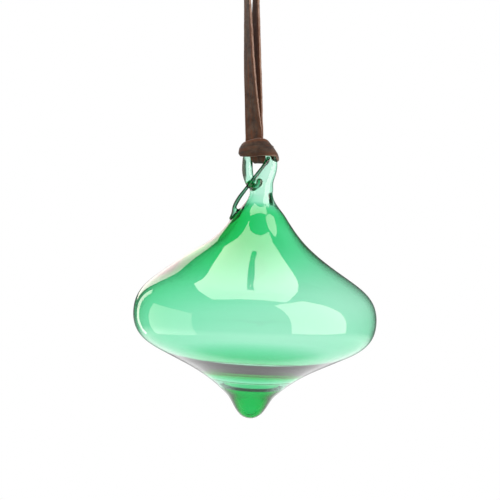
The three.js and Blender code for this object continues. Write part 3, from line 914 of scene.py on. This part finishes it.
def skinOver(name, field, profile, drifts=False):
    # One closed skin: a net over the fused top and a turned surface below it, zipped together
    s = glassSettings
    low = [s["axis"] - s["fuseReach"], -s["fuseReach"], -s["fuseDepth"]]
    high = [s["axis"] + s["fuseReach"], s["fuseReach"], s["fuseTop"]]
    points, faces = parted(*netOver(field, low, high, s["fuseCell"]))
    lower, lowerFaces = turned(name, profile)
    lower[:, 0] += s["axis"]
    if drifts:
        lower += driftAt(-lower[:, 2])
    start = len(points)
    both = np.vstack([points, lower])
    rim = lowerRim(faces, points, -s["fuseDepth"] + 1)
    ring = [start + n for n in range(len(lower)) if abs(lower[n][2] - profile[0][1]) < 1e-3]
    ring.sort(key=lambda n: turnOf(both[n]))
    print(name, "closed between rims of", len(rim), "and", len(ring), "vertices")
    return both, faces + [tuple(n + start for n in f) for f in lowerFaces] + zipped(rim, ring, both)


glassLook = {
    "tint": "ffffff",
    "ior": 1.5,
    "density": 1000.0,
    "clear": (0.0, 0.87, 0.51, 1),
    # the colour of the painted shade at the glass's outline
    "rim": "053018",
    # the rim of painted shade is dark from where the glass faces away by rimStart, less rimReach times its share,
    # over rimSpan more
    "rimStart": 0.95,
    "rimReach": 1.1,
    "rimSpan": 0.25,
}


def makeGlass(s):
    material = bpy.data.materials.new("greenGlass")
    material.use_nodes = True
    tree = material.node_tree
    shader = tree.nodes["Principled BSDF"]
    # The base colour turns dark green towards the outline: painted shade standing in for the dark surroundings seen
    # through the glass's edges
    facing = place(tree, "ShaderNodeLayerWeight", {"Blend": 0.5}).outputs["Facing"]
    share = place(tree, "ShaderNodeAttribute", attribute_name="paintedRimShade").outputs["Fac"]
    start = figure(tree, "MULTIPLY_ADD", share, -s["rimReach"], s["rimStart"])
    reached = clamped(tree, figure(tree, "DIVIDE", figure(tree, "SUBTRACT", facing, start), s["rimSpan"]))
    paintedShade = figure(tree, "MULTIPLY", reached, figure(tree, "GREATER_THAN", share, 0.01))
    tree.links.new(blendColour(tree, paintedShade, paint(s["tint"]), paint(s["rim"])), shader.inputs["Base Color"])
    shader.inputs["Roughness"].default_value = 0.0
    shader.inputs["IOR"].default_value = s["ior"]
    shader.inputs["Transmission Weight"].default_value = 1.0
    volume = place(tree, "ShaderNodeVolumeAbsorption", {"Color": s["clear"], "Density": s["density"]})
    tree.links.new(volume.outputs[0], tree.nodes["Material Output"].inputs["Volume"])
    return material


def makeBauble():
    s = glassSettings
    kept = np.arange(len(outline)) % s["rowStep"] == 0
    kept |= (outline[:, 1] > -s["fineRows"][1]) & (outline[:, 1] < -s["fineRows"][0])
    inward = np.stack([outlineWays[:, 1], -outlineWays[:, 0]], -1)
    inner = outline + inward * wallAt(-outline[:, 1])[:, None]
    inner[-1, 0] = 0
    highest = -s["fuseDepth"] - 0.3  # a little under the net's rim
    below, inner = [rows[kept & (rows[:, 1] < highest)] for rows in (outline, inner)]
    skin, skinFaces = skinOver("bulbSkin", outerField, below)
    hollow, hollowFaces = skinOver("hollow", hollowField, inner, drifts=True)
    points = swollen(np.vstack([skin, hollow]))
    faces = skinFaces + [tuple(n + len(skin) for n in f[::-1]) for f in hollowFaces]
    mesh = bpy.data.meshes.new("glassBauble")
    mesh.from_pydata([tuple(p * mm) for p in points], [], faces)
    # How much painted shade each vertex takes, on the skin and on the hollow's left side
    leftwards = np.clip((s["axis"] - hollow[:, 0]) / s["hollowFade"], 0, 1)
    paintedShades = np.concatenate([paintedRimShade(skin), np.interp(-hollow[:, 2], *zip(*s["hollowPaintedShade"])) * leftwards])
    mesh.attributes.new("paintedRimShade", "FLOAT", "POINT").data.foreach_set("value", paintedShades)
    mesh.validate()
    mesh.materials.append(makeGlass(glassLook))
    mesh.polygons.foreach_set("use_smooth", [True] * len(mesh.polygons))
    mesh.transform(Matrix.Translation(Vector(bar * mm)) @ Matrix.Rotation(math.radians(s["tilt"]), 4, "Y"))
    piece = bpy.data.objects.new("glassBauble", mesh)
    bpy.context.collection.objects.link(piece)
    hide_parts("glass_bulb", "glass_eye")
    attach(piece, "bauble")
    return piece


turnedTree()
bauble = makeBauble()
print("glass made,", len(bauble.data.polygons), "faces")


# Floor, world and lamps
studioSettings = {
    "floor": -0.55,
    "floorRadius": 4,
    "floorColour": "e9e9e7",
    "shadowReach": (0.2, 0.34),  # where the floor turns from a lit surface to plain white
    "mirrorGain": 1.5,  # how bright the floor behind gets there
    "mirrorReach": (0.9, 1.7),  # where it fades out in reflections
    "world": 0.4,
    "mirrored": 0.12,  # how bright the studio is in reflections, beside its cards
    "cardTint": "ffede7",
}


def straightRay(tree):
    # 1 for what the camera sees directly or through glass
    path = tree.nodes.new("ShaderNodeLightPath")
    return path, figure(tree, "MAXIMUM", path.outputs["Is Camera Ray"], path.outputs["Is Transmission Ray"])


def makeWorld(s):
    world = bpy.data.worlds.new("studio")
    bpy.context.scene.world = world
    world.use_nodes = True
    tree = world.node_tree
    back = tree.nodes["Background"]
    path, straight = straightRay(tree)
    mirror = figure(tree, "MULTIPLY", path.outputs["Is Glossy Ray"], s["mirrored"] - s["world"])
    other = figure(tree, "ADD", mirror, s["world"])
    back.inputs["Color"].default_value = (1, 1, 1, 1)
    tree.links.new(figure(tree, "MAXIMUM", straight, other), back.inputs["Strength"])


def makeFloor(s):
    mesh = bpy.data.meshes.new("floor")
    turns = 2 * math.pi * np.arange(96) / 96
    ring = [(s["floorRadius"] * math.cos(turn), s["floorRadius"] * math.sin(turn), 0) for turn in turns]
    mesh.from_pydata(ring, [], [tuple(range(len(ring)))])
    floor = bpy.data.objects.new("floor", mesh)
    floor.location = (0, 0, s["floor"])
    bpy.context.collection.objects.link(floor)
    material = bpy.data.materials.new("floorPaper")
    material.use_nodes = True
    tree = material.node_tree
    shader = tree.nodes["Principled BSDF"]
    spot = tree.nodes.new("ShaderNodeTexCoord")
    away = steer(tree, "LENGTH", spot.outputs["Object"])
    far = ramp(tree, away, *s["shadowReach"])
    path, straight = straightRay(tree)
    rising = ramp(tree, away, *s["shadowReach"][1:], s["mirrorReach"][0], 1.0, s["mirrorGain"])
    fading = figure(tree, "MULTIPLY", rising, ramp(tree, away, *s["mirrorReach"], 1.0, s["mirrored"]))
    fading = figure(tree, "MULTIPLY", far, fading)
    mirror = figure(tree, "MULTIPLY", path.outputs["Is Glossy Ray"], figure(tree, "SUBTRACT", 1.0, straight))
    plain = figure(tree, "MULTIPLY", far, figure(tree, "MAXIMUM", straight, s["world"]))
    glow = place(tree, "ShaderNodeMix", {0: mirror, 2: plain, 3: fading}, data_type="FLOAT").outputs[0]
    tree.links.new(blendColour(tree, far, paint(s["floorColour"]), (0, 0, 0, 1)), shader.inputs["Base Color"])
    shader.inputs["Roughness"].default_value = 1.0
    shader.inputs["Specular IOR Level"].default_value = 0.0
    shader.inputs["Emission Color"].default_value = (1, 1, 1, 1)
    tree.links.new(glow, shader.inputs["Emission Strength"])
    mesh.materials.append(material)


lampSettings = {
    # centre, where it faces, width and height in metres, and how bright its face is
    "key": ((0.45, -0.6, 0.35), (0, 0, -0.1), (0.6, 0.6), 2.6),
    "fill": ((-0.7, -0.3, 0.1), (0, 0, -0.1), (0.6, 0.6), 1.2),
}
# Cards that only the glass mirrors
cardSettings = {
    "overhead": ((-0.03, 0.15, 0.75), (-0.03, 0.15, 0), (0.78, 0.68), 5.5),
    "right": ((0.706, -0.376, 0.55), (0, 0, 0.55), (0.9, 1.85), 5.5),
    "left": ((-0.75, -0.05, -0.2), (0, 0, -0.12), (0.8, 0.7), 2.3),
    "leftRear": ((-0.637, 0.757, -0.12), (0, 0, -0.12), (0.13, 0.85), 2.6),
    "leftBack": ((-0.27, 0.86, 0.17), (0, 0, -0.12), (0.34, 0.55), 2.2),
}


def makeLamp(name, spot, aim, size, shine):
    data = bpy.data.lights.new(name, "AREA")
    data.shape = "RECTANGLE"
    data.size, data.size_y = size
    data.energy = shine * math.pi * size[0] * size[1]
    lamp = bpy.data.objects.new(name, data)
    bpy.context.collection.objects.link(lamp)
    lamp.location = spot
    lamp.rotation_euler = (Vector(aim) - Vector(spot)).to_track_quat("-Z", "Y").to_euler()
    lamp.visible_camera = lamp.visible_transmission = False
    return lamp


makeWorld(studioSettings)
makeFloor(studioSettings)
for name, values in lampSettings.items():
    makeLamp(name, *values).visible_glossy = False
for name, values in cardSettings.items():
    card = makeLamp(name, *values)
    card.visible_diffuse = False
    card.data.color = paint(studioSettings["cardTint"])[:3]
print("studio made")
